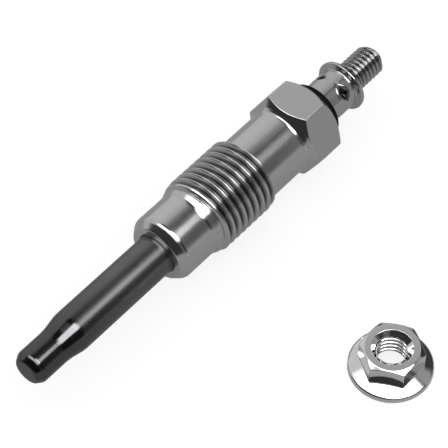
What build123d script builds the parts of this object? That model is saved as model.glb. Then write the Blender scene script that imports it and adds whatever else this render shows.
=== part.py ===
"""Pencil-type diesel glow plug with its M5 terminal nut, which lies beside it.

The plug lies level on one flat of its hexagon and on its thread. Lengths are in millimetres.
The origin is on the axis, where the sealing cone meets the pilot. +X runs towards the terminal
and +Z is up, so the tip is at -X and the plug rests on the plane z = -hex_across_flats / 2.
"""
from build123d import *
import os
from math import cos, radians, sin, tan

os.makedirs("parts", exist_ok=True)

# Glow tube, measured from the nose of the housing
tube_diameter = 6.2
tube_wall = 0.65
tube_reach = 25.9
tube_grip = 15.0
tip_diameter = 5.2
tip_length = 5.8
tip_taper = 2.6
tip_round = 1.0
tip_end_wall = 0.9

# Housing, from the sealing cone to the hexagon
seat_angle = 75.0
nose_face_diameter = 8.6
pilot_diameter = 10.4
pilot_length = 5.4
lead_in_length = 2.1
thread_diameter = 12.0
thread_length = 10.25
thread_end_chamfer = 0.45
shank_diameter = 10.4
shank_length = 7.85
shank_flare_length = 0.3
shank_flare_step = 0.5
hex_across_flats = 12.0
hex_length = 6.15
hex_chamfer_angle = 42.0

# Bores of the housing
passage_diameter = 6.4
counterbore_depth = 2.7
counterbore_clearance = 0.05

# Connecting rod and its M5 stud
rod_diameter = 3.3
spigot_diameter = 2.0
spigot_length = 3.0
blank_diameter = 4.48
blank_start_ahead = 0.7
stud_diameter = 4.9
stud_reach = 7.25
stud_chamfer = 0.85

# Insulating bush and body seal behind the hexagon
bush_diameter = 9.0
bush_stand = 1.65
bush_edge = 0.2
bush_clearance = 0.1
body_seal_length = 1.8
body_seal_clearance = 0.04

# Round nut, crimped on the stud
neck_diameter = 6.5
neck_length = 5.55
neck_edge = 0.25
flare_length = 0.25
flange_diameter = 8.25
flange_thickness = 0.6
flange_edge = 0.15
round_nut_clearance = 0.05
crimp_count = 4
crimp_first_angle = 48.0
crimp_from_flange = 2.85
crimp_width = 2.7
crimp_pit_width = 0.9
crimp_depth = 0.6

# Coils, powder and seal inside the tube
wire_diameter = 0.36
wire_sides = 4
heating_coil_diameter = 2.5
heating_coil_pitch = 1.6
heating_coil_turns = 3
regulating_coil_diameter = 2.6
regulating_coil_pitch = 3.2
regulating_coil_turns = 3
coil_gap = 0.5
fill_clearance = 0.02
tube_seal_length = 1.5

# Terminal nut, M5 with a flange, taken off
nut_across_flats = 8.0
nut_height = 4.7
nut_flange_diameter = 11.8
nut_flange_edge = 0.85
nut_rim_chamfer = 0.2
nut_flange_slope = 22.0
nut_face_diameter = 7.6
nut_chamfer_angle = 30.0
nut_bore_diameter = 4.2
nut_countersink_diameter = 5.8
nut_turn = -2.0
nut_along = 8.35
nut_aside = 33.9

press_clearance = 0.01

# Stations along the axis
seat_x = 0.0
nose_x = seat_x - (pilot_diameter - nose_face_diameter) / 2 / tan(radians(seat_angle / 2))
tip_x = nose_x - tube_reach
tube_end_x = nose_x + tube_grip
pilot_end_x = seat_x + pilot_length
thread_start_x = pilot_end_x + lead_in_length
thread_end_x = thread_start_x + thread_length
shank_end_x = thread_end_x + shank_length
hex_x = shank_end_x + shank_flare_length
hex_end_x = hex_x + hex_length
counterbore_x = hex_end_x - counterbore_depth
bush_end_x = hex_end_x + bush_stand
neck_end_x = bush_end_x + neck_length
flange_x = neck_end_x + flare_length
round_nut_end_x = flange_x + flange_thickness
stud_end_x = round_nut_end_x + stud_reach

# Radii that follow from what they hold
bore_radius = tube_diameter / 2 + press_clearance
counterbore_radius = bush_diameter / 2 + counterbore_clearance
cavity_radius = tube_diameter / 2 - tube_wall
tip_cavity_radius = tip_diameter / 2 - tube_wall
rod_radius = rod_diameter / 2
blank_radius = blank_diameter / 2
shank_radius = shank_diameter / 2
hex_face_radius = shank_radius + shank_flare_step
round_nut_bore_radius = stud_diameter / 2 + round_nut_clearance
floor_z = -hex_across_flats / 2


def half_section(*outline):
    """Closed face in the XY plane whose outline joins (x, radius) points by straight lines."""
    with BuildSketch(Plane.XY) as section:
        with BuildLine():
            Polyline(*outline, close=True)
        make_face()
    return section.sketch


# Glow tube: one drawn tube, closed at its slimmer tip, whose rounded end is three short cones
with BuildPart() as glow_tube:
    tip_end_x = tip_x + tip_length
    tube_start_x = tip_end_x + tip_taper
    cavity_x = tip_x + tip_end_wall
    tip_bend = []
    for turned in (0, 30, 60, 90):
        along = tip_round * (1 - cos(radians(turned)))
        inwards = tip_round * (1 - sin(radians(turned)))
        tip_bend.append((tip_x + along, tip_diameter / 2 - inwards))
    revolve(
        half_section(
            (tip_x, 0),
            *tip_bend,
            (tip_end_x, tip_diameter / 2),
            (tube_start_x, tube_diameter / 2),
            (tube_end_x, tube_diameter / 2),
            (tube_end_x, cavity_radius),
            (tube_start_x, cavity_radius),
            (tip_end_x, tip_cavity_radius),
            (cavity_x, tip_cavity_radius),
            (cavity_x, 0),
        ),
        axis=Axis.X,
    )
glow_tube.part.label = "glow_tube"

# Coils: the heating coil starts against the closed tip, the regulating coil ends on the rod
wire_radius = wire_diameter / 2
heating_start_x = cavity_x + wire_radius + fill_clearance
heating_length = heating_coil_pitch * heating_coil_turns
heating_end_x = heating_start_x + heating_length
regulating_start_x = heating_end_x + coil_gap
regulating_length = regulating_coil_pitch * regulating_coil_turns
regulating_end_x = regulating_start_x + regulating_length


def coil_path(start_x, pitch, length, diameter):
    """Helix about the X axis, as one edge."""
    return Helix(pitch, length, diameter / 2, center=(start_x, 0, 0), direction=(1, 0, 0), mode=Mode.PRIVATE)


with BuildPart() as heating_coil:
    heating_path = coil_path(heating_start_x, heating_coil_pitch, heating_length, heating_coil_diameter)
    with BuildSketch(Plane(origin=heating_path @ 0, z_dir=heating_path % 0)):
        RegularPolygon(wire_radius, wire_sides)
    sweep(path=heating_path, is_frenet=True)
heating_coil.part.label = "heating_coil"

with BuildPart() as regulating_coil:
    regulating_path = coil_path(
        regulating_start_x, regulating_coil_pitch, regulating_length, regulating_coil_diameter
    )
    with BuildSketch(Plane(origin=regulating_path @ 0, z_dir=regulating_path % 0)):
        RegularPolygon(wire_radius, wire_sides)
    sweep(path=regulating_path, is_frenet=True)
regulating_coil.part.label = "regulating_coil"

# Connecting rod: spigot inside the regulating coil, plain rod, thread blank and M5 stud
spigot_x = regulating_end_x - spigot_length
rod_x = regulating_end_x + wire_radius + fill_clearance
blank_x = counterbore_x - blank_start_ahead
with BuildPart() as connecting_rod:
    revolve(
        half_section(
            (spigot_x, 0),
            (spigot_x, spigot_diameter / 2),
            (rod_x, spigot_diameter / 2),
            (rod_x, rod_radius),
            (blank_x, rod_radius),
            (blank_x, blank_radius),
            (round_nut_end_x, blank_radius),
            (round_nut_end_x, stud_diameter / 2),
            (stud_end_x - stud_chamfer, stud_diameter / 2),
            (stud_end_x, stud_diameter / 2 - stud_chamfer),
            (stud_end_x, 0),
        ),
        axis=Axis.X,
    )
connecting_rod.part.label = "connecting_rod"

# Tube seal: a ring round the rod in the open end of the tube
tube_seal_x = tube_end_x - tube_seal_length
with BuildPart() as tube_seal:
    revolve(
        half_section(
            (tube_seal_x, rod_radius + fill_clearance),
            (tube_seal_x, cavity_radius - fill_clearance),
            (tube_end_x, cavity_radius - fill_clearance),
            (tube_end_x, rod_radius + fill_clearance),
        ),
        axis=Axis.X,
    )
tube_seal.part.label = "tube_seal"

# Insulating powder: fills the tube, with a ring-shaped space for each coil and a seat for the rod
with BuildPart() as insulating_powder:
    core_x = cavity_x + fill_clearance
    powder_end_x = tube_seal_x - fill_clearance
    powder_radius = cavity_radius - fill_clearance
    revolve(
        half_section(
            (core_x, 0),
            (core_x, tip_cavity_radius - fill_clearance),
            (tip_end_x, tip_cavity_radius - fill_clearance),
            (tube_start_x, powder_radius),
            (powder_end_x, powder_radius),
            (powder_end_x, 0),
        ),
        axis=Axis.X,
    )
    coil_reach = wire_radius + fill_clearance
    heating_ring = half_section(
        (core_x, heating_coil_diameter / 2 - coil_reach),
        (core_x, heating_coil_diameter / 2 + coil_reach),
        (heating_end_x + coil_reach, heating_coil_diameter / 2 + coil_reach),
        (heating_end_x + coil_reach, heating_coil_diameter / 2 - coil_reach),
    )
    revolve(heating_ring, axis=Axis.X, mode=Mode.SUBTRACT)
    regulating_ring = half_section(
        (regulating_start_x - coil_reach, regulating_coil_diameter / 2 - coil_reach),
        (regulating_start_x - coil_reach, regulating_coil_diameter / 2 + coil_reach),
        (rod_x, regulating_coil_diameter / 2 + coil_reach),
        (rod_x, regulating_coil_diameter / 2 - coil_reach),
    )
    revolve(regulating_ring, axis=Axis.X, mode=Mode.SUBTRACT)
    rod_seat = half_section(
        (spigot_x - fill_clearance, 0),
        (spigot_x - fill_clearance, spigot_diameter / 2 + fill_clearance),
        (rod_x - fill_clearance, spigot_diameter / 2 + fill_clearance),
        (rod_x - fill_clearance, rod_radius + fill_clearance),
        (powder_end_x, rod_radius + fill_clearance),
        (powder_end_x, 0),
    )
    revolve(rod_seat, axis=Axis.X, mode=Mode.SUBTRACT)
insulating_powder.part.label = "insulating_powder"

# Housing: hexagon, then the turned outside, then the bores
with BuildPart() as housing:
    hex_corner_radius = hex_across_flats / 2 / cos(radians(30))
    corner_fall = (hex_corner_radius - hex_face_radius) * tan(radians(hex_chamfer_angle))
    with BuildSketch(Plane.YZ.offset(hex_x)):
        RegularPolygon(hex_across_flats / 2, 6, major_radius=False)
    extrude(amount=hex_length)
    hex_envelope = half_section(
        (hex_x, 0),
        (hex_x, hex_face_radius),
        (hex_x + corner_fall, hex_corner_radius),
        (hex_end_x - corner_fall, hex_corner_radius),
        (hex_end_x, hex_face_radius),
        (hex_end_x, 0),
    )
    revolve(hex_envelope, axis=Axis.X, mode=Mode.INTERSECT)
    outside = half_section(
        (nose_x, 0),
        (nose_x, nose_face_diameter / 2),
        (seat_x, pilot_diameter / 2),
        (pilot_end_x, pilot_diameter / 2),
        (thread_start_x, thread_diameter / 2),
        (thread_end_x - thread_end_chamfer, thread_diameter / 2),
        (thread_end_x, shank_radius),
        (shank_end_x, shank_radius),
        (hex_x, hex_face_radius),
        (hex_x, 0),
    )
    revolve(outside, axis=Axis.X)
    bores = half_section(
        (nose_x, 0),
        (nose_x, bore_radius),
        (tube_end_x, bore_radius),
        (tube_end_x, passage_diameter / 2),
        (counterbore_x, passage_diameter / 2),
        (counterbore_x, counterbore_radius),
        (hex_end_x, counterbore_radius),
        (hex_end_x, 0),
    )
    revolve(bores, axis=Axis.X, mode=Mode.SUBTRACT)
housing.part.label = "housing"

# Body seal: a square-edged rubber ring on the floor of the counterbore
with BuildPart() as body_seal:
    body_seal_end_x = counterbore_x + body_seal_length
    revolve(
        half_section(
            (counterbore_x, blank_radius + body_seal_clearance),
            (counterbore_x, counterbore_radius - body_seal_clearance),
            (body_seal_end_x, counterbore_radius - body_seal_clearance),
            (body_seal_end_x, blank_radius + body_seal_clearance),
        ),
        axis=Axis.X,
    )
body_seal.part.label = "body_seal"

# Insulating bush: sits in the counterbore behind the seal and stands out of the hexagon
with BuildPart() as insulating_bush:
    bush_x = body_seal_end_x + body_seal_clearance
    bush_bore_radius = blank_radius + bush_clearance
    revolve(
        half_section(
            (bush_x, bush_bore_radius),
            (bush_x, bush_diameter / 2),
            (bush_end_x - bush_edge, bush_diameter / 2),
            (bush_end_x, bush_diameter / 2 - bush_edge),
            (bush_end_x, bush_bore_radius),
        ),
        axis=Axis.X,
    )
insulating_bush.part.label = "insulating_bush"

# Round nut: a sleeve with a flange, held on the stud by crimps round its neck
with BuildPart() as round_nut:
    neck_radius = neck_diameter / 2
    flange_radius = flange_diameter / 2
    revolve(
        half_section(
            (bush_end_x, round_nut_bore_radius),
            (bush_end_x, neck_radius - neck_edge),
            (bush_end_x + neck_edge, neck_radius),
            (neck_end_x, neck_radius),
            (flange_x, flange_radius - flange_edge),
            (flange_x + flange_edge, flange_radius),
            (round_nut_end_x - flange_edge, flange_radius),
            (round_nut_end_x, flange_radius - flange_edge),
            (round_nut_end_x, round_nut_bore_radius),
        ),
        axis=Axis.X,
    )
    crimp_x = round_nut_end_x - crimp_from_flange
    for crimp in range(crimp_count):
        angle = crimp_first_angle + crimp * 360 / crimp_count
        outward = Vector(0, 1, 0).rotate(Axis.X, angle)
        mouth = Plane(origin=Vector(crimp_x, 0, 0) + outward * neck_radius, x_dir=(1, 0, 0), z_dir=outward)
        with BuildSketch(mouth):
            RegularPolygon(crimp_width / 2, 4)
        with BuildSketch(mouth.offset(-crimp_depth)):
            RegularPolygon(crimp_pit_width / 2, 4)
        loft(mode=Mode.SUBTRACT)
round_nut.part.label = "round_nut"

# Flange nut: hexagon, cone and rim, lying on its flange beside the plug
with BuildPart() as flange_nut:
    nut_corner_radius = nut_across_flats / 2 / cos(radians(30))
    nut_corner_fall = (nut_corner_radius - nut_face_diameter / 2) * tan(radians(nut_chamfer_angle))
    nut_plane = Plane(origin=(nut_along, -nut_aside, floor_z))
    with BuildSketch(nut_plane):
        RegularPolygon(nut_across_flats / 2, 6, major_radius=False, rotation=nut_turn)
    extrude(amount=nut_height)
    nut_axis = Axis((nut_along, -nut_aside, floor_z), (0, 0, 1))
    nut_half = Plane(origin=(nut_along, -nut_aside, floor_z), x_dir=(1, 0, 0), z_dir=(0, -1, 0))
    with BuildSketch(nut_half):
        with BuildLine():
            Polyline(
                (0, 0),
                (nut_corner_radius, 0),
                (nut_corner_radius, nut_height - nut_corner_fall),
                (nut_face_diameter / 2, nut_height),
                (0, nut_height),
                close=True,
            )
        make_face()
    revolve(axis=nut_axis, mode=Mode.INTERSECT)
    rim_radius = nut_flange_diameter / 2
    cone_height = nut_flange_edge + (rim_radius - nut_across_flats / 2) * tan(radians(nut_flange_slope))
    with BuildSketch(nut_half):
        with BuildLine():
            Polyline(
                (0, 0),
                (rim_radius, 0),
                (rim_radius, nut_flange_edge - nut_rim_chamfer),
                (rim_radius - nut_rim_chamfer, nut_flange_edge),
                (nut_across_flats / 2, cone_height),
                (0, cone_height),
                close=True,
            )
        make_face()
    revolve(axis=nut_axis)
    nut_bore_radius = nut_bore_diameter / 2
    countersink = nut_countersink_diameter / 2 - nut_bore_radius
    with BuildSketch(nut_half):
        with BuildLine():
            Polyline(
                (0, 0),
                (nut_bore_radius + countersink, 0),
                (nut_bore_radius, countersink),
                (nut_bore_radius, nut_height - countersink),
                (nut_bore_radius + countersink, nut_height),
                (0, nut_height),
                close=True,
            )
        make_face()
    revolve(axis=nut_axis, mode=Mode.SUBTRACT)
flange_nut.part.label = "flange_nut"

for piece in (
    housing,
    glow_tube,
    heating_coil,
    regulating_coil,
    insulating_powder,
    tube_seal,
    connecting_rod,
    body_seal,
    insulating_bush,
    round_nut,
    flange_nut,
):
    export_step(piece.part, f"parts/{piece.part.label}.step")
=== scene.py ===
"""Looks of the diesel glow plug and of its terminal nut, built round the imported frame.

Shapes are worked out in millimetres and written to the meshes in metres. The plug's axis is the
frame's X axis; the terminal nut stands on the floor about its own upright axis.
"""
from math import pi, radians, tan, tau

import bpy
import numpy as np
from mathutils import Euler, Matrix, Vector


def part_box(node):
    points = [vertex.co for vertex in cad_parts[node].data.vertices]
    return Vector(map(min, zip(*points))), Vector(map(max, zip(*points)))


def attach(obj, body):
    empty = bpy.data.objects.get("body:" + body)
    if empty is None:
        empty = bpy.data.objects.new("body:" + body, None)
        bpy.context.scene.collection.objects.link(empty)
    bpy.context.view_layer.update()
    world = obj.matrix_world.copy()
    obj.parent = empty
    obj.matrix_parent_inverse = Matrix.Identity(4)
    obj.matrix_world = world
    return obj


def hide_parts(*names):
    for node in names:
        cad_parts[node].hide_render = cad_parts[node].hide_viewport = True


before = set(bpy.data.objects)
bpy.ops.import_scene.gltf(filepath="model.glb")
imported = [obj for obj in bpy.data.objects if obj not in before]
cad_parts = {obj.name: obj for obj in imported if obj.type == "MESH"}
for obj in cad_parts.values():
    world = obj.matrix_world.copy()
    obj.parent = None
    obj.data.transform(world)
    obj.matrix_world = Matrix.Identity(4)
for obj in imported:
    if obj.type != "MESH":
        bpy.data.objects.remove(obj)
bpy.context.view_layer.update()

MM = 0.001


def corners_mm(node):
    """Lowest and highest corner of a CAD node, in millimetres."""
    low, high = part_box(node)
    return np.array(low) / MM, np.array(high) / MM


# Stations and sizes that the frame gives
HOUSING_LOW, HOUSING_HIGH = corners_mm("housing")
TUBE_LOW, TUBE_HIGH = corners_mm("glow_tube")
ROD_LOW, ROD_HIGH = corners_mm("connecting_rod")
ROUND_NUT_HIGH = corners_mm("round_nut")[1]
BUSH_HIGH = corners_mm("insulating_bush")[1]
NUT_LOW, NUT_HIGH = corners_mm("flange_nut")
FLOOR_Z = NUT_LOW[2]

# Housing, in the order of its stations along the axis
NOSE_X = HOUSING_LOW[0]
NOSE_RADIUS = 4.3
PILOT_RADIUS = 5.2
PILOT_END_X = 5.4
THREAD_X = 7.5
THREAD_END_X = 17.75
THREAD_RADIUS = 6.0
THREAD_PITCH = 1.25
THREAD_PHASE = 0.5
THREAD_END_CHAMFER = 0.45
SHANK_RADIUS = 5.2
HEX_END_X = HOUSING_HIGH[0]
HEX_X = HEX_END_X - 6.15
SHANK_END_X = HEX_X - 0.55
HEX_APOTHEM = HOUSING_HIGH[2]
HEX_FACE_RADIUS = 5.7
HEX_CHAMFER_RISE = tan(radians(42))
TUBE_BORE_RADIUS = 3.11
PASSAGE_RADIUS = 3.2
COUNTERBORE_X = HEX_END_X - 2.7
COUNTERBORE_RADIUS = BUSH_HIGH[2] + 0.05

# Glow tube
TUBE_RADIUS = TUBE_HIGH[2]
TIP_RADIUS = 2.6
TIP_FACE_RADIUS = 1.95
TIP_BEVEL = 1.05
TIP_END_X = TUBE_LOW[0] + 5.8
TUBE_START_X = TIP_END_X + 2.6
TUBE_WALL = 0.65
TIP_WALL = 0.9

# Connecting rod with its M5 stud
SPIGOT_RADIUS = 1.0
SPIGOT_LENGTH = 3.2
ROD_RADIUS = 1.65
BLANK_RADIUS = 2.24
BLANK_X = COUNTERBORE_X - 0.7
STUD_X = ROUND_NUT_HIGH[0]
BLANK_END_X = STUD_X - 0.2
STUD_LEAD = 0.1
STUD_RADIUS = ROD_HIGH[2]
STUD_PITCH = 0.8
STUD_PHASE = 0.65
STUD_CHAMFER = 0.85

# Round nut crimped on the stud; its neck is straight between its front and rear stations
NECK_RADIUS = 3.25
NECK_FRONT_X = BUSH_HIGH[0] + 0.6
NECK_END_X = STUD_X - 0.85
NECK_REAR_X = NECK_END_X - 0.5
FLANGE_RADIUS = ROUND_NUT_HIGH[2]
FLANGE_X = STUD_X - 0.6
FLANGE_TAPER = 0.1
ROUND_NUT_BORE = 2.5
CRIMP_COUNT = 4
CRIMP_X = STUD_X - 2.85
CRIMP_ANGLE = radians(48)
CRIMP_ALONG = 0.9
CRIMP_AROUND = 1.55
CRIMP_ROUNDNESS = 1.4
CRIMP_DEPTH = 0.66
CRIMP_SLOPE = 1.15
CRIMP_LIP = 0.03
CRIMP_LIP_REACH = 1.15
CRIMP_LIP_WIDTH = 0.15

# Terminal nut lying on its flange
NUT_CENTRE = (NUT_LOW + NUT_HIGH)[:2] / 2
NUT_HEIGHT = NUT_HIGH[2] - NUT_LOW[2]
NUT_APOTHEM = 4.0
NUT_TURN = radians(-2.0)
NUT_RIM_RADIUS = (NUT_HIGH[0] - NUT_LOW[0]) / 2
NUT_RIM_EDGE = 0.85
NUT_CONE_RISE = tan(radians(22))
NUT_FACE_RADIUS = 3.8
NUT_CHAMFER_RISE = tan(radians(30))
NUT_BORE_RADIUS = 2.1
NUT_ROOT_RADIUS = 2.47
NUT_MOUTH_RADIUS = 2.9

# Standard thread form, as shares of the pitch: half the crest's width, the flank's run, the depth
CREST_SHARE = 0.0625
FLANK_SHARE = 0.354
DEPTH_SHARE = 0.613

# Distance beyond each bend at which a row of points keeps the face there flat
HOLD = 0.03

# Greatest shares of the shorter side at a corner that a bend and the row beyond it may take
BEND_SHARE = 0.4
HELD_SHARE = 0.45

# Widest gaps between rows of points
COARSE_STEP = 2.0
PLAIN_STEP = 1.0
FINE_STEP = 0.5
NECK_STEP = 0.05
THREAD_STEP = THREAD_PITCH / 24
STUD_STEP = STUD_PITCH / 20


def curved(angle, *corners, steps=5):
    """Rows of (along, radius) points through the corners, with one point for each angle.

    A corner is (along, radius, bend), where along and radius are one number or one for each angle.
    A bend is the parabola (1-t)^2 start + 2t(1-t) corner + t^2 end, for t from 0 to 1.
    """
    spots = []
    for along, radius, _ in corners:
        spots.append(np.stack([along + 0 * angle, radius + 0 * angle], axis=-1))
    share = np.linspace(0, 1, steps + 1)[:, None, None]
    rows = []
    for index, here in enumerate(spots):
        bend = corners[index][2]
        if bend == 0:
            rows.append(here[None])
            continue
        back = spots[index - 1] - here
        onward = spots[(index + 1) % len(spots)] - here
        back_length = np.linalg.norm(back, axis=-1, keepdims=True)
        onward_length = np.linalg.norm(onward, axis=-1, keepdims=True)
        shorter = np.minimum(back_length, onward_length)
        reach = np.minimum(bend, BEND_SHARE * shorter)
        held = np.minimum(reach + HOLD, HELD_SHARE * shorter)
        back = back / back_length
        onward = onward / onward_length
        arc = (1 - share) ** 2 * (here + back * reach) + share ** 2 * (here + onward * reach)
        arc = arc + 2 * share * (1 - share) * here
        rows.append(np.concatenate([(here + back * held)[None], arc, (here + onward * held)[None]]))
    return np.concatenate(rows)


def divided(rows, step):
    """The same rows with others added in line between them, so that no gap is wider than step."""
    gaps = np.linalg.norm(np.diff(rows, axis=0), axis=-1).max(axis=1)
    counts = np.maximum(1, np.ceil(gaps / step)).astype(int)
    stretch = np.repeat(np.arange(len(gaps)), counts)
    order = np.arange(counts.sum()) - np.repeat(np.cumsum(counts) - counts, counts)
    share = (order / counts[stretch])[:, None, None]
    inner = rows[stretch] * (1 - share) + rows[stretch + 1] * share
    return np.concatenate([inner, rows[-1:]])


def angles(columns):
    """Angles of the grid's columns, once round the axis."""
    return np.arange(columns) * tau / columns


def hexagon(apothem, angle, first_flat, sharpness=220):
    """Radius of a hexagon with slightly rounded corners.

    It is apothem / (sum of cos(angle - flat)^sharpness over the facing flats)^(1 / sharpness).
    """
    flats = np.arange(6) * tau / 6 + first_flat
    facing = np.clip(np.cos(angle[:, None] - flats), 0, None)
    return apothem / (facing ** sharpness).sum(axis=1) ** (1 / sharpness)


def thread_depth(along, angle, pitch, phase):
    """Depth of a right-hand thread: a flat crest, a straight flank and a narrow root.

    The share of a turn is along / pitch - angle / full turn - phase, and the depth follows its
    distance from the nearest crest.
    """
    share = (along / pitch - angle / tau - phase) % 1
    from_crest = np.minimum(share, 1 - share)
    fall = np.clip((from_crest - CREST_SHARE) / FLANK_SHARE, 0, 1)
    return DEPTH_SHARE * pitch * fall


def about_plug(rows, angle):
    """Points of a surface about the plug's axis."""
    along, radius = rows[..., 0], rows[..., 1]
    return np.stack([along, radius * np.cos(angle), radius * np.sin(angle)], axis=-1)


def about_nut(rows, angle):
    """Points of a surface about the terminal nut's upright axis."""
    along, radius = rows[..., 0], rows[..., 1]
    across = NUT_CENTRE[0] + radius * np.cos(angle)
    aside = NUT_CENTRE[1] + radius * np.sin(angle)
    return np.stack([across, aside, FLOOR_Z + along], axis=-1)


def surface(name, points, closed):
    """Mesh object from a grid of points whose columns go round an axis.

    The first row joins the last one where the profile is closed; otherwise both lie on the axis and
    become one pole each. The profile runs so that faces point outwards.
    """
    rows, columns = points.shape[:2]
    column = np.arange(columns)
    beside = np.roll(column, -1)
    if closed:
        vertices = points.reshape(-1, 3)
        upper = np.roll(np.arange(rows), -1)[:, None] * columns
        lower = np.arange(rows)[:, None] * columns
        grid = np.stack([lower + column, lower + beside, upper + beside, upper + column], axis=-1)
        faces = grid.reshape(-1, 4).tolist()
    else:
        inner = points[1:-1].reshape(-1, 3)
        last = len(inner)
        vertices = np.concatenate([inner, points[:1, 0], points[-1:, 0]])
        lower = np.arange(rows - 3)[:, None] * columns
        upper = lower + columns
        grid = np.stack([lower + column, lower + beside, upper + beside, upper + column], axis=-1)
        first_fan = np.stack([np.full(columns, last), beside, column], axis=-1)
        top = (rows - 3) * columns
        last_fan = np.stack([top + column, top + beside, np.full(columns, last + 1)], axis=-1)
        faces = grid.reshape(-1, 4).tolist() + first_fan.tolist() + last_fan.tolist()
    mesh = bpy.data.meshes.new(name)
    mesh.from_pydata((vertices * MM).tolist(), [], faces)
    mesh.polygons.foreach_set("use_smooth", np.ones(len(mesh.polygons), bool))
    mesh.update()
    piece = bpy.data.objects.new(name, mesh)
    bpy.context.scene.collection.objects.link(piece)
    return piece


def finished(piece, slot, material, *nodes):
    """Gives a piece its material, fixes it to the body and hides the nodes it replaces; its slot is
    not used.
    """
    piece.data.materials.append(material)
    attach(piece, "root")
    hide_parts(*nodes)
    return piece


def housing_front(material):
    """Sealing cone, pilot, lead-in and M12 thread.

    The radius is the turned outline's, or the thread's radius less its depth where that is less.
    """
    angle = angles(300)
    plain = curved(
        angle,
        (NOSE_X, TUBE_BORE_RADIUS, 0),
        (NOSE_X, NOSE_RADIUS, 0.12),
        (0, PILOT_RADIUS, 0.4),
        (PILOT_END_X, PILOT_RADIUS, 0.35),
        (THREAD_X, THREAD_RADIUS, 0),
    )
    end = curved(
        angle,
        (THREAD_END_X - THREAD_END_CHAMFER, THREAD_RADIUS, 0),
        (THREAD_END_X, SHANK_RADIUS, 0),
    )
    threaded = divided(np.concatenate([plain[-2:], end]), THREAD_STEP)
    back = curved(angle, (THREAD_END_X, TUBE_BORE_RADIUS, 0))
    rows = np.concatenate([divided(plain[:-2], FINE_STEP), threaded, back])
    cut = THREAD_RADIUS - thread_depth(rows[..., 0], angle, THREAD_PITCH, THREAD_PHASE)
    rows[..., 1] = np.minimum(rows[..., 1], cut)
    piece = surface("housing_front", about_plug(rows, angle), closed=True)
    return finished(piece, "plated_steel", material, "housing")


def housing_rear(material):
    """Shank and hexagon.

    Each chamfer ends where its cone cuts the hexagon: angle by angle, its depth is the side's
    radius beyond the face's radius, times the chamfer's rise.
    """
    angle = angles(720)
    side = hexagon(HEX_APOTHEM, angle, pi / 6)
    fall = (side - HEX_FACE_RADIUS) * HEX_CHAMFER_RISE
    rows = curved(
        angle,
        (THREAD_END_X, PASSAGE_RADIUS, 0),
        (THREAD_END_X, SHANK_RADIUS, 0.02),
        (SHANK_END_X, SHANK_RADIUS, 0.3),
        (HEX_X, HEX_FACE_RADIUS, 0.12),
        (HEX_X + fall, side, 0.1),
        (HEX_END_X - fall, side, 0.1),
        (HEX_END_X, HEX_FACE_RADIUS, 0.06),
        (HEX_END_X, COUNTERBORE_RADIUS, 0.1),
        (COUNTERBORE_X, COUNTERBORE_RADIUS, 0),
        (COUNTERBORE_X, PASSAGE_RADIUS, 0),
    )
    piece = surface("housing_rear", about_plug(divided(rows, PLAIN_STEP), angle), closed=True)
    return finished(piece, "plated_steel", material, "housing")


def drawn_tube(material):
    """Glow tube: a closed tube with a wall, turned from its outside and then its inside."""
    angle = angles(160)
    cavity = TUBE_RADIUS - TUBE_WALL
    tip_cavity = TIP_RADIUS - TUBE_WALL
    rows = curved(
        angle,
        (TUBE_LOW[0], 0, 0),
        (TUBE_LOW[0], TIP_FACE_RADIUS, 0.3),
        (TUBE_LOW[0] + TIP_BEVEL, TIP_RADIUS, 0.35),
        (TIP_END_X, TIP_RADIUS, 0.9),
        (TUBE_START_X, TUBE_RADIUS, 0.5),
        (TUBE_HIGH[0], TUBE_RADIUS, 0.1),
        (TUBE_HIGH[0], cavity, 0.1),
        (TUBE_START_X, cavity, 0),
        (TIP_END_X, tip_cavity, 0),
        (TUBE_LOW[0] + TIP_WALL, tip_cavity, 0),
        (TUBE_LOW[0] + TIP_WALL, 0, 0),
        steps=12,
    )
    piece = surface("drawn_tube", about_plug(divided(rows, PLAIN_STEP), angle), closed=False)
    return finished(piece, "dark_tube", material, "glow_tube")


def terminal_rod(material):
    """Connecting rod: turned outline, cut down to the depth of the M5 thread on its stud."""
    angle = angles(192)
    plain = curved(
        angle,
        (ROD_LOW[0], 0, 0),
        (ROD_LOW[0], SPIGOT_RADIUS, 0.1),
        (ROD_LOW[0] + SPIGOT_LENGTH, SPIGOT_RADIUS, 0),
        (ROD_LOW[0] + SPIGOT_LENGTH, ROD_RADIUS, 0.1),
        (BLANK_X, ROD_RADIUS, 0),
        (BLANK_X, BLANK_RADIUS, 0.1),
        (BLANK_END_X, BLANK_RADIUS, 0),
    )
    stud = curved(
        angle,
        (STUD_X, BLANK_RADIUS, 0),
        (STUD_X + STUD_LEAD, STUD_RADIUS, 0),
        (ROD_HIGH[0] - STUD_CHAMFER, STUD_RADIUS, 0.1),
        (ROD_HIGH[0], STUD_RADIUS - STUD_CHAMFER, 0),
    )
    end = curved(angle, (ROD_HIGH[0], 0, 0))
    rows = np.concatenate([divided(plain, COARSE_STEP), divided(stud, STUD_STEP), end])
    groove = STUD_RADIUS - thread_depth(rows[..., 0], angle, STUD_PITCH, STUD_PHASE)
    on_stud = rows[..., 0] >= STUD_X
    rows[..., 1] = np.where(on_stud, np.minimum(rows[..., 1], groove), rows[..., 1])
    piece = surface("terminal_rod", about_plug(rows, angle), closed=False)
    return finished(piece, "terminal_steel", material, "connecting_rod")


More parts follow.
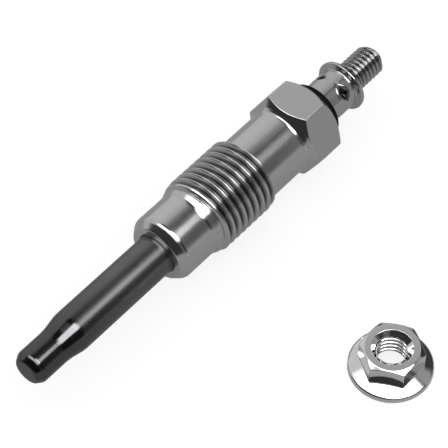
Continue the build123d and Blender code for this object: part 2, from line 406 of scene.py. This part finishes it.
def crimp_height(along, angle):
    """How far the crimps raise the neck: pointed pits, evenly spaced, each inside a low lip.

    With a and b the distances from a crimp's centre as shares of its half-lengths and n the
    roundness, its reach q is (a^n + b^n)^(1/n). The pit deepens as (1 - q)^slope, and the lip is
    the bell exp(-((q - lip's reach) / lip's width)^2).
    """
    apart = tau / CRIMP_COUNT
    around = (angle - CRIMP_ANGLE + apart / 2) % apart - apart / 2
    share_along = np.abs(along - CRIMP_X) / CRIMP_ALONG
    share_around = np.abs(around) * NECK_RADIUS / CRIMP_AROUND
    total = share_along ** CRIMP_ROUNDNESS + share_around ** CRIMP_ROUNDNESS
    reach = total ** (1 / CRIMP_ROUNDNESS)
    pit = np.clip(1 - reach, 0, 1) ** CRIMP_SLOPE
    lip = np.exp(-(((reach - CRIMP_LIP_REACH) / CRIMP_LIP_WIDTH) ** 2))
    return CRIMP_LIP * lip - CRIMP_DEPTH * pit


def crimped_nut(material):
    """Round nut: a turned sleeve with a flange, with the crimps' height added to its neck."""
    angle = angles(400)
    front = curved(
        angle,
        (BUSH_HIGH[0], ROUND_NUT_BORE, 0),
        (BUSH_HIGH[0], NECK_RADIUS, 0.32),
        (NECK_FRONT_X, NECK_RADIUS, 0),
    )
    neck = curved(angle, (NECK_FRONT_X, NECK_RADIUS, 0), (NECK_REAR_X, NECK_RADIUS, 0))
    rear = curved(
        angle,
        (NECK_REAR_X, NECK_RADIUS, 0),
        (NECK_END_X, NECK_RADIUS, 0.3),
        (FLANGE_X, FLANGE_RADIUS, 0.2),
        (STUD_X, FLANGE_RADIUS - FLANGE_TAPER, 0.1),
        (STUD_X, ROUND_NUT_BORE, 0),
    )
    rows = np.concatenate([front, divided(neck, NECK_STEP)[1:], rear[1:]])
    along = rows[..., 0]
    on_neck = (along >= NECK_FRONT_X) & (along < NECK_END_X)
    rows[..., 1] += np.where(on_neck, crimp_height(along, angle), 0)
    piece = surface("crimped_nut", about_plug(rows, angle), closed=True)
    return finished(piece, "terminal_steel", material, "round_nut")


def terminal_nut(material):
    """Flange nut, whose bore is cut to the depth of its M5 thread.

    The hexagon's foot and brow lie where the flange's and the chamfer's cones cut its sides.
    """
    angle = angles(480)
    side = hexagon(NUT_APOTHEM, angle, NUT_TURN + pi / 6)
    foot = NUT_RIM_EDGE + (NUT_RIM_RADIUS - side) * NUT_CONE_RISE
    brow = NUT_HEIGHT - (side - NUT_FACE_RADIUS) * NUT_CHAMFER_RISE
    mouth_depth = NUT_MOUTH_RADIUS - NUT_BORE_RADIUS
    outside = curved(
        angle,
        (mouth_depth, NUT_BORE_RADIUS, 0),
        (0, NUT_MOUTH_RADIUS, 0.04),
        (0, NUT_RIM_RADIUS, 0.15),
        (NUT_RIM_EDGE, NUT_RIM_RADIUS, 0.3),
        (foot, side, 0.12),
        (brow, side, 0.08),
        (NUT_HEIGHT, NUT_FACE_RADIUS, 0.06),
        (NUT_HEIGHT, NUT_MOUTH_RADIUS, 0.04),
        (NUT_HEIGHT - mouth_depth, NUT_BORE_RADIUS, 0),
    )
    bore = divided(np.concatenate([outside[-2:], outside[:2]]), STUD_STEP)
    depth = thread_depth(bore[..., 0], angle, STUD_PITCH, STUD_PHASE)
    bore[..., 1] = np.maximum(bore[..., 1], NUT_ROOT_RADIUS - depth)
    rows = np.concatenate([outside[2:-2], bore])
    piece = surface("terminal_nut", about_nut(rows, angle), closed=True)
    return finished(piece, "nut_steel", material, "flange_nut")


# Scale of a grain along the three axes: the same on all, or drawn out along the tube
EVEN = (1, 1, 1)
DRAWN = (0.25, 1, 1)

# Finishes by name: each material's own name, colour, metallic, roughness and, if it isn't the usual
# one, specular level; then its grain's scale, stretch, bump, lowest roughness and highest roughness
FINISHES = {
    "plating": (("bright_plating", (0.65, 0.65, 0.66), 1, 0.25), (900, EVEN, 0.05, 0.12, 0.2)),
    "tube": (("gunmetal_tube", (0.115, 0.115, 0.12), 1, 0.25), (700, DRAWN, 0.08, 0.08, 0.18)),
    "terminal": (("terminal_plating", (0.58, 0.58, 0.59), 1, 0.2), (900, EVEN, 0.05, 0.1, 0.16)),
    "nut": (("nut_plating", (0.86, 0.86, 0.87), 1, 0.12), (900, EVEN, 0.03, 0.05, 0.12)),
    "plastic": (
        ("black_plastic", (0.004, 0.004, 0.005), 0, 0.7, 0.1), (1500, EVEN, 0.2, 0.6, 0.75)
    ),
    "rubber": (("black_rubber", (0.02, 0.02, 0.02), 0, 0.8), (1500, EVEN, 0.2, 0.7, 0.85)),
    "wire": (("resistance_wire", (0.42, 0.40, 0.38), 1, 0.35), (2500, EVEN, 0.1, 0.3, 0.45)),
    "powder": (("packed_powder", (0.86, 0.85, 0.82), 0, 0.9), (2500, EVEN, 0.6, 0.85, 0.95)),
}

# Octaves of the grain's noise, and the greatest height of its bump
GRAIN_DETAIL = 4
GRAIN_HEIGHT = 0.02

# Satin on the hexagon's flats: its added roughness, and how far it stays from the chamfers' edges
HEX_SATIN = 0.16
HEX_SATIN_CLEARANCE = 0.04

# Glow tube's body: its added roughness with the length over which it sets in, and its colour with
# the stations between which the tip's colour turns into it
TUBE_SATIN = 0.12
TUBE_SATIN_RISE = 1.0
TUBE_BODY_COLOUR = (0.18, 0.18, 0.185)
DARK_TIP_X = -21.0
LIGHT_BODY_X = -9.0

# Painted shade darkening the colour in the threads' grooves, the crimps' pits and the nut's bore,
# where they lie in shade: its distance from the threads' ends, and for each groove the radii where
# it begins and where it is full, with its brightness there
GROOVE_SHADE_MARGIN = 0.2
THREAD_GROOVE_SHADE = ((5.8, 5.36), 0.16)
STUD_GROOVE_SHADE = ((2.34, 2.06), 0.3)
CRIMP_PIT_SHADE = ((3.19, 3.0), 0.03)
NUT_BORE_SHADE = ((2.18, 2.3), 0.03)
NUT_BORE_SHADE_RADIUS = NUT_ROOT_RADIUS + 0.1

# Axes for the materials: a point on each, the letter along it and the letters across it
PLUG_AXIS = ((0, 0, 0), "X", "Y", "Z")
NUT_AXIS = ((*NUT_CENTRE, FLOOR_Z), "Z", "X", "Y")


def new_material(name, colour, metallic, roughness, specular=0.5):
    """Principled material with its constant values on the shader's own sockets."""
    material = bpy.data.materials.new(name)
    material.use_nodes = True
    shader = material.node_tree.nodes["Principled BSDF"]
    shader.inputs["Base Color"].default_value = (*colour, 1)
    shader.inputs["Metallic"].default_value = metallic
    shader.inputs["Roughness"].default_value = roughness
    shader.inputs["Specular IOR Level"].default_value = specular
    return material


def math_node(tree, operation, *values):
    """Output of a Math node whose inputs are numbers or outputs of other nodes."""
    node = tree.nodes.new("ShaderNodeMath")
    node.operation = operation
    for socket, value in zip(node.inputs, values):
        if isinstance(value, bpy.types.NodeSocket):
            tree.links.new(value, socket)
        else:
            socket.default_value = value
    return node.outputs["Value"]


def add_grain(material, scale, stretch, bump, roughness_low, roughness_high):
    """Fine uneven grain: noise on Object coordinates varies the roughness and raises a bump."""
    nodes = material.node_tree.nodes
    links = material.node_tree.links
    place = nodes.new("ShaderNodeTexCoord")
    mapping = nodes.new("ShaderNodeMapping")
    mapping.inputs["Scale"].default_value = stretch
    noise = nodes.new("ShaderNodeTexNoise")
    noise.inputs["Scale"].default_value = scale
    noise.inputs["Detail"].default_value = GRAIN_DETAIL
    spread = nodes.new("ShaderNodeMapRange")
    spread.inputs["To Min"].default_value = roughness_low
    spread.inputs["To Max"].default_value = roughness_high
    raised = nodes.new("ShaderNodeBump")
    raised.inputs["Strength"].default_value = bump
    raised.inputs["Distance"].default_value = GRAIN_HEIGHT * MM
    shader = nodes["Principled BSDF"]
    links.new(place.outputs["Object"], mapping.inputs["Vector"])
    links.new(mapping.outputs["Vector"], noise.inputs["Vector"])
    links.new(noise.outputs["Fac"], spread.inputs["Value"])
    links.new(spread.outputs["Result"], shader.inputs["Roughness"])
    links.new(noise.outputs["Fac"], raised.inputs["Height"])
    links.new(raised.outputs["Normal"], shader.inputs["Normal"])
    return material


def coordinates(tree, kind):
    """Outputs X, Y and Z of a texture coordinate of one kind."""
    place = tree.nodes.new("ShaderNodeTexCoord")
    parts = tree.nodes.new("ShaderNodeSeparateXYZ")
    tree.links.new(place.outputs[kind], parts.inputs["Vector"])
    return parts.outputs


def axis_nodes(tree, centre, along, first, second):
    """Outputs for the place along an axis and the radius about it, in metres.

    The letters name the direction along the axis and the two across it.
    """
    place = tree.nodes.new("ShaderNodeTexCoord")
    mapping = tree.nodes.new("ShaderNodeMapping")
    mapping.inputs["Location"].default_value = [-value * MM for value in centre]
    parts = tree.nodes.new("ShaderNodeSeparateXYZ")
    tree.links.new(place.outputs["Object"], mapping.inputs["Vector"])
    tree.links.new(mapping.outputs["Vector"], parts.inputs["Vector"])
    square = math_node(tree, "MULTIPLY", parts.outputs[first], parts.outputs[first])
    squares = math_node(tree, "MULTIPLY_ADD", parts.outputs[second], parts.outputs[second], square)
    return parts.outputs[along], math_node(tree, "SQRT", squares)


def between(tree, value, start, end):
    """Output that is 1 where the value lies between start and end, and 0 elsewhere."""
    after = math_node(tree, "GREATER_THAN", value, start)
    before = math_node(tree, "LESS_THAN", value, end)
    return math_node(tree, "MULTIPLY", after, before)


def rising(tree, value, start, end, course="LINEAR"):
    """Output that rises from 0 to 1 while the value goes from start to end."""
    rise = tree.nodes.new("ShaderNodeMapRange")
    rise.interpolation_type = course
    rise.inputs["From Min"].default_value = start
    rise.inputs["From Max"].default_value = end
    tree.links.new(value, rise.inputs["Value"])
    return rise.outputs["Result"]


def blended(tree, factor, first, second):
    """Mix of two colours, each an output of a node, a colour or one brightness."""
    mix = tree.nodes.new("ShaderNodeMix")
    mix.data_type = "RGBA"
    tree.links.new(factor, mix.inputs["Factor"])
    for socket, value in ((mix.inputs["A"], first), (mix.inputs["B"], second)):
        if isinstance(value, bpy.types.NodeSocket):
            tree.links.new(value, socket)
        elif isinstance(value, tuple):
            socket.default_value = (*value[:3], 1)
        else:
            socket.default_value = (value, value, value, 1)
    return mix.outputs["Result"]


def roughen(material, share, rougher):
    """Makes a material rougher by a given amount, times a share between 0 and 1."""
    tree = material.node_tree
    shader = tree.nodes["Principled BSDF"]
    smooth = shader.inputs["Roughness"].links[0].from_socket
    rough = math_node(tree, "MULTIPLY_ADD", share, rougher, smooth)
    tree.links.new(rough, shader.inputs["Roughness"])


def recolour(material, share, other):
    """Turns a material's colour into another colour or brightness, by a share between 0 and 1."""
    tree = material.node_tree
    colour = tree.nodes["Principled BSDF"].inputs["Base Color"]
    own = colour.links[0].from_socket if colour.links else tuple(colour.default_value)
    tree.links.new(blended(tree, share, own, other), colour)


def finish_tube(material):
    """Makes the glow tube rougher and lighter behind its bright, darker tip."""
    tree = material.node_tree
    along = coordinates(tree, "Object")["X"]
    satin_end = TUBE_START_X + TUBE_SATIN_RISE
    roughen(material, rising(tree, along, TUBE_START_X * MM, satin_end * MM), TUBE_SATIN)
    recolour(material, rising(tree, along, DARK_TIP_X * MM, LIGHT_BODY_X * MM), TUBE_BODY_COLOUR)


def satin_hexagon(material):
    """Makes the hexagon's flats rougher: the points inside both chamfers' cones.

    A point is inside a cone where its distance from the hexagon's end is more than the chamfer's
    rise times its radius beyond the face's radius.
    """
    tree = material.node_tree
    along, radius = axis_nodes(tree, *PLUG_AXIS)
    beyond = math_node(tree, "SUBTRACT", radius, HEX_FACE_RADIUS * MM)
    fall = math_node(tree, "MULTIPLY_ADD", beyond, HEX_CHAMFER_RISE, HEX_SATIN_CLEARANCE * MM)
    start = math_node(tree, "ADD", fall, HEX_X * MM)
    end = math_node(tree, "SUBTRACT", HEX_END_X * MM, fall)
    roughen(material, between(tree, along, start, end), HEX_SATIN)


def shade_grooves(material, axis, start, end, outermost, painted_shade):
    """Paints shade into the colour between two stations and inside the outermost radius.

    The painted shade holds two radii and a brightness: the colour goes from its own at the first
    radius to the brightness at the second.
    """
    tree = material.node_tree
    along, radius = axis_nodes(tree, *axis)
    (clear, full), dark = painted_shade
    depth = rising(tree, radius, clear * MM, full * MM)
    inside = between(tree, along, start * MM, end * MM)
    deep = math_node(tree, "MULTIPLY", inside, depth)
    within = math_node(tree, "LESS_THAN", radius, outermost * MM)
    recolour(material, math_node(tree, "MULTIPLY", deep, within), dark)


def make_materials():
    """One material for each finish, by name."""
    finishes = {}
    for name, (shader_values, grain) in FINISHES.items():
        finishes[name] = add_grain(new_material(*shader_values), *grain)
    plating, terminal = finishes["plating"], finishes["terminal"]
    satin_hexagon(plating)
    finish_tube(finishes["tube"])
    # Painted shade in the M12 thread's grooves, the stud's grooves, the crimps' pits and the nut's
    # bore
    thread_end = THREAD_END_X - GROOVE_SHADE_MARGIN
    shade_grooves(plating, PLUG_AXIS, THREAD_X, thread_end, THREAD_RADIUS, THREAD_GROOVE_SHADE)
    stud_start, stud_end = STUD_X + GROOVE_SHADE_MARGIN, ROD_HIGH[0] - GROOVE_SHADE_MARGIN
    shade_grooves(terminal, PLUG_AXIS, stud_start, stud_end, STUD_RADIUS, STUD_GROOVE_SHADE)
    crimps_start, crimps_end = CRIMP_X - CRIMP_ALONG, CRIMP_X + CRIMP_ALONG
    shade_grooves(terminal, PLUG_AXIS, crimps_start, crimps_end, NECK_RADIUS, CRIMP_PIT_SHADE)
    mouth = NUT_MOUTH_RADIUS - NUT_BORE_RADIUS
    top = NUT_HEIGHT - mouth
    shade_grooves(finishes["nut"], NUT_AXIS, mouth, top, NUT_BORE_SHADE_RADIUS, NUT_BORE_SHADE)
    return finishes


def paint_node(node, material):
    """Puts a material on a CAD node that stays as it is."""
    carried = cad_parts[node]
    carried.data.materials.clear()
    carried.data.materials.append(material)


# Floor: half its width, the share of light it returns, and the glow that camera rays and mirror
# rays see on it
FLOOR_HALF = 600
FLOOR_SHARE = 0.25
FLOOR_GLOW_SEEN = 0.84
FLOOR_GLOW_MIRRORED = 0.18


def make_floor():
    """Pale floor: it keeps the object's shadow, and its glow lights nothing."""
    half = FLOOR_HALF * MM
    height = FLOOR_Z * MM
    corners = [(x * half, y * half, height) for x, y in ((-1, -1), (1, -1), (1, 1), (-1, 1))]
    mesh = bpy.data.meshes.new("floor")
    mesh.from_pydata(corners, [], [(0, 1, 2, 3)])
    floor = bpy.data.objects.new("floor", mesh)
    bpy.context.scene.collection.objects.link(floor)
    material = bpy.data.materials.new("floor_paper")
    material.use_nodes = True
    tree = material.node_tree
    tree.nodes.clear()
    paper = tree.nodes.new("ShaderNodeBsdfDiffuse")
    paper.inputs["Color"].default_value = (FLOOR_SHARE, FLOOR_SHARE, FLOOR_SHARE, 1)
    path = tree.nodes.new("ShaderNodeLightPath")
    seen = math_node(tree, "MULTIPLY", path.outputs["Is Camera Ray"], FLOOR_GLOW_SEEN)
    mirrored = math_node(tree, "MULTIPLY", path.outputs["Is Glossy Ray"], FLOOR_GLOW_MIRRORED)
    glow = tree.nodes.new("ShaderNodeEmission")
    tree.links.new(math_node(tree, "ADD", seen, mirrored), glow.inputs["Strength"])
    total = tree.nodes.new("ShaderNodeAddShader")
    output = tree.nodes.new("ShaderNodeOutputMaterial")
    tree.links.new(paper.outputs["BSDF"], total.inputs[0])
    tree.links.new(glow.outputs["Emission"], total.inputs[1])
    tree.links.new(total.outputs["Shader"], output.inputs["Surface"])
    mesh.materials.append(material)


# Light tent as metal sees it, in zones from the tip's side to the stud's. A zone starts at a value
# of the direction's x, blends in over a margin on both sides of it and holds (angle, brightness)
# pairs; the angle goes about the plug's axis from the far side (0 degrees) over the top (90) to the
# near side
DARK_FRONT = ((0, 0.03), (180, 0.03))
WIDE_PANEL = ((0, 0.55), (48, 0.6), (62, 3.2), (129, 3.2), (134, 0.1), (165, 0.12), (180, 0.3))
SOFTBOX = (
    (0, 0.6), (56, 0.6), (64, 0.04), (96, 0.04), (101, 6),
    (130, 6), (135, 0.03), (174, 0.05), (180, 0.3),
)
NARROW_BOX = (
    (0, 0.6), (58, 0.6), (70, 0.05), (109, 0.04), (112, 4.3),
    (128, 4.3), (132, 0.03), (172, 0.05), (180, 0.3),
)
DIM_BOX = (
    (0, 0.62), (40, 0.66), (64, 0.5), (74, 0.28), (88, 0.15), (104, 0.2),
    (112, 1.3), (127, 1.3), (132, 0.22), (158, 0.15), (168, 0.25), (180, 0.5),
)
FAINT_BOX = (
    (0, 0.62), (40, 0.64), (64, 0.5), (74, 0.28), (84, 0.08), (97, 0.02), (104, 0.1),
    (112, 0.2), (123, 0.24), (130, 0.14), (138, 0.05), (168, 0.08), (180, 0.33),
)
GREY_WALL = ((0, 0.6), (60, 0.62), (91, 0.52), (95, 0.2), (99, 0.2), (103, 0.3), (180, 0.3))
DARK_BACK = ((0, 0.08), (60, 0.05), (138, 0.03), (152, 0.25), (180, 0.3))
TENT = (
    (-1.0, 0.05, DARK_FRONT),
    (-0.47, 0.04, WIDE_PANEL),
    (-0.02, 0.05, SOFTBOX),
    (0.29, 0.05, NARROW_BOX),
    (0.375, 0.02, DIM_BOX),
    (0.45, 0.02, FAINT_BOX),
    (0.52, 0.012, GREY_WALL),
    (0.74, 0.05, DARK_BACK),
)

# Even brightness of the surroundings for matt surfaces
SKY_FILL = 0.75


def tent_zone(tree, angle, pairs):
    """Colour ramp of one zone, over angles from 0 to 180 degrees."""
    ramp = tree.nodes.new("ShaderNodeValToRGB")
    elements = ramp.color_ramp.elements
    while len(elements) < len(pairs):
        elements.new(0.5)
    for element, (degrees, level) in zip(elements, pairs):
        element.position = degrees / 180
        element.color = (level, level, level, 1)
    tree.links.new(math_node(tree, "DIVIDE", angle, pi), ramp.inputs["Fac"])
    return ramp.outputs["Color"]


def make_world():
    """White surroundings for the camera, an even fill for matt surfaces, the tent for metal."""
    world = bpy.data.worlds.new("light_tent")
    bpy.context.scene.world = world
    world.use_nodes = True
    tree = world.node_tree
    tree.nodes.clear()
    towards = coordinates(tree, "Generated")
    angle = math_node(tree, "ARCTAN2", towards["Z"], towards["Y"])
    tent = tent_zone(tree, angle, TENT[0][2])
    for start, margin, pairs in TENT[1:]:
        inside = rising(tree, towards["X"], start - margin, start + margin, "SMOOTHSTEP")
        tent = blended(tree, inside, tent, tent_zone(tree, angle, pairs))
    path = tree.nodes.new("ShaderNodeLightPath")
    lit = blended(tree, path.outputs["Is Glossy Ray"], SKY_FILL, tent)
    shown = blended(tree, path.outputs["Is Camera Ray"], lit, 1.0)
    background = tree.nodes.new("ShaderNodeBackground")
    output = tree.nodes.new("ShaderNodeOutputWorld")
    tree.links.new(shown, background.inputs["Color"])
    tree.links.new(background.outputs["Background"], output.inputs["Surface"])


# Camera, solved from the photograph: where it stands, the way it faces and its lens
CAMERA_PLACE = (-0.12558, -0.11918, 0.22673)
CAMERA_AZIMUTH = radians(-49.35)
CAMERA_ELEVATION = radians(52.0)
CAMERA_ROLL = radians(-0.11)
CAMERA_LENS = 165.55
CAMERA_SENSOR = 36
CAMERA_SHIFT = (-0.0008, 0.0009)
CAMERA_CLIP_START = 0.01


def make_camera():
    """Camera at the photograph's place and angle, for a square picture."""
    lens = bpy.data.cameras.new("camera")
    lens.sensor_width = CAMERA_SENSOR
    lens.lens = CAMERA_LENS
    lens.shift_x, lens.shift_y = CAMERA_SHIFT
    lens.clip_start = CAMERA_CLIP_START
    camera = bpy.data.objects.new("camera", lens)
    bpy.context.scene.collection.objects.link(camera)
    facing = Euler((pi / 2 - CAMERA_ELEVATION, 0, CAMERA_AZIMUTH)).to_matrix()
    camera.location = CAMERA_PLACE
    camera.rotation_euler = (facing @ Matrix.Rotation(CAMERA_ROLL, 3, "Z")).to_euler()
    bpy.context.scene.camera = camera


finishes = make_materials()
housing_front(finishes["plating"])
housing_rear(finishes["plating"])
drawn_tube(finishes["tube"])
terminal_rod(finishes["terminal"])
crimped_nut(finishes["terminal"])
terminal_nut(finishes["nut"])
paint_node("insulating_bush", finishes["plastic"])
paint_node("body_seal", finishes["rubber"])
paint_node("tube_seal", finishes["rubber"])
paint_node("heating_coil", finishes["wire"])
paint_node("regulating_coil", finishes["wire"])
paint_node("insulating_powder", finishes["powder"])

make_floor()
make_world()
make_camera()
bpy.context.scene.view_settings.view_transform = "Standard"
